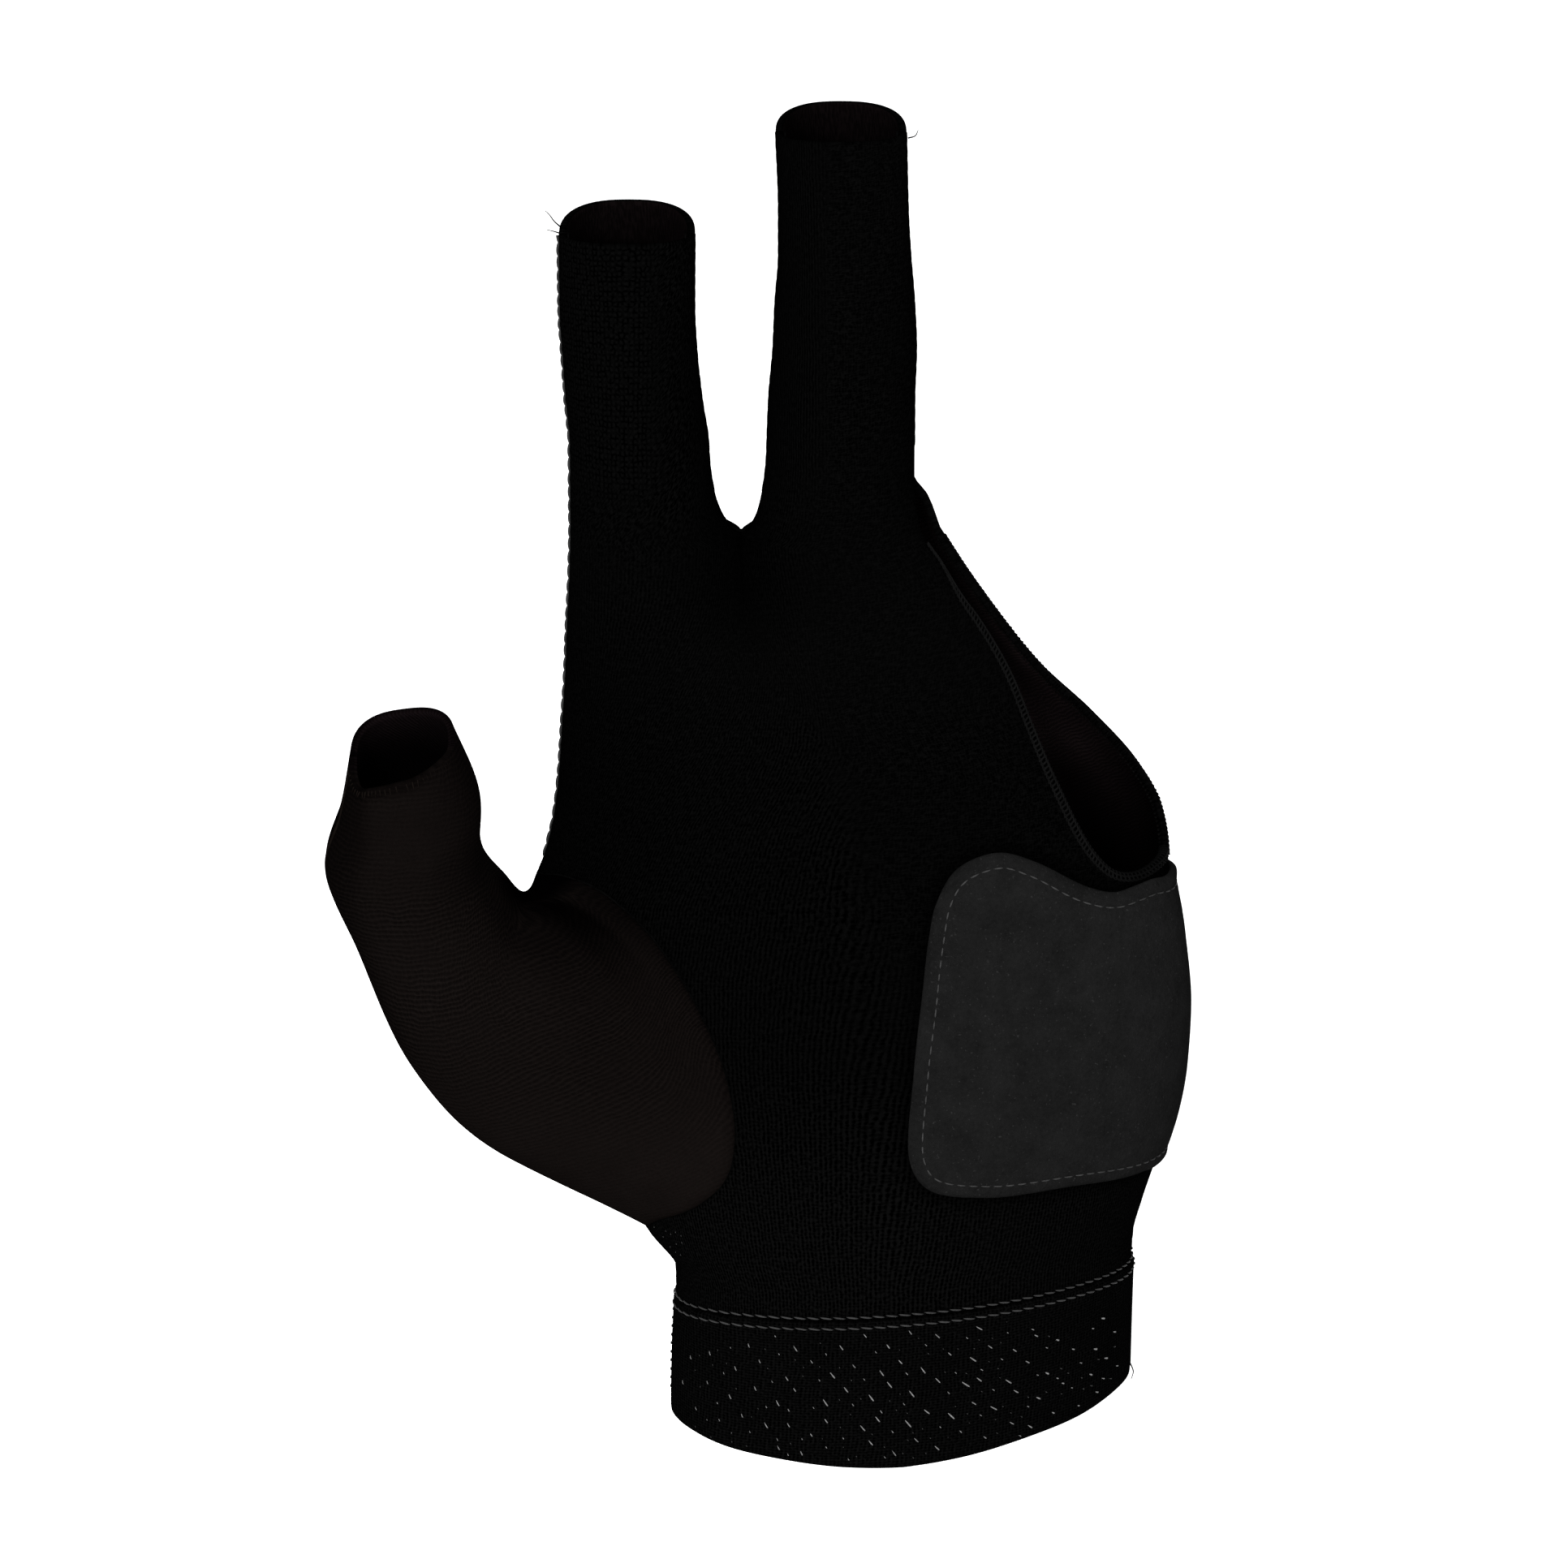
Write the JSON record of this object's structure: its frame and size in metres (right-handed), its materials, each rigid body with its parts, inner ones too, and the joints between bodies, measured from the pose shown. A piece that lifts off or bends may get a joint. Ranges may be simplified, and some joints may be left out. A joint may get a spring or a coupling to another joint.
{
  "type": "billiard glove",
  "caption": "Open-fingertip billiard glove for the bridge hand: thumb, index and middle finger are covered, the outer side of the hand stays bare, with a suede heel patch and an elastic cuff.",
  "frame": {"origin": "centre of the wrist opening, level with the cuff's rim", "axes": "+Z from the wrist to the fingertips, +X towards the little finger's side, -Y out of the palm"},
  "size_m": [0.1242, 0.0505, 0.1959],
  "materials": {
    "palm_knit": "matt black stretch knit",
    "back_knit": "matt black stretch knit with a brown tinge inside",
    "thumb_knit": "brownish black fine ribbed knit",
    "suede": "mottled dark grey suede",
    "cuff_elastic": "matt black elastic with pale flecks and stitches"
  },
  "bodies": {
    "root": {"palm_panel": "palm_knit", "back_panel": "back_knit", "thumb_sleeve": "thumb_knit", "heel_patch": "suede", "wrist_cuff": "cuff_elastic"}
  },
  "joints": []
}
